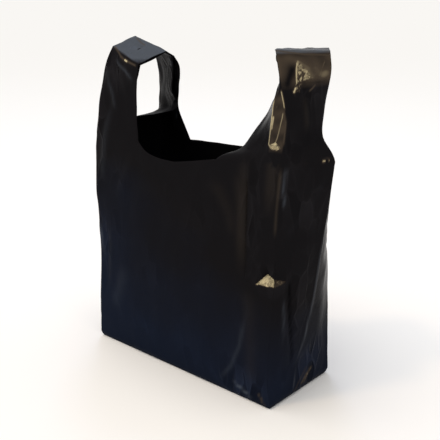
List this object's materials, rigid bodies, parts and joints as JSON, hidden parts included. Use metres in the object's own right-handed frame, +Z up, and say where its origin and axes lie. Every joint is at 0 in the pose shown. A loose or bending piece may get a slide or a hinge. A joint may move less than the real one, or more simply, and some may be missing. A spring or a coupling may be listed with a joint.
{
  "type": "plastic carrier bag",
  "caption": "Black plastic vest carrier bag with two loop handles, standing open on its squared base, empty.",
  "frame": {"origin": "middle of the flat base, on the surface that the bag stands on", "axes": "+X to the bag's right as seen from its front, the front panel looks to -Y, +Z up"},
  "size_m": [0.3468, 0.1448, 0.3834],
  "materials": {
    "black_ldpe_film": "glossy blown film, opaque black"
  },
  "bodies": {
    "root": {"carrier_bag": "black_ldpe_film"}
  },
  "joints": []
}
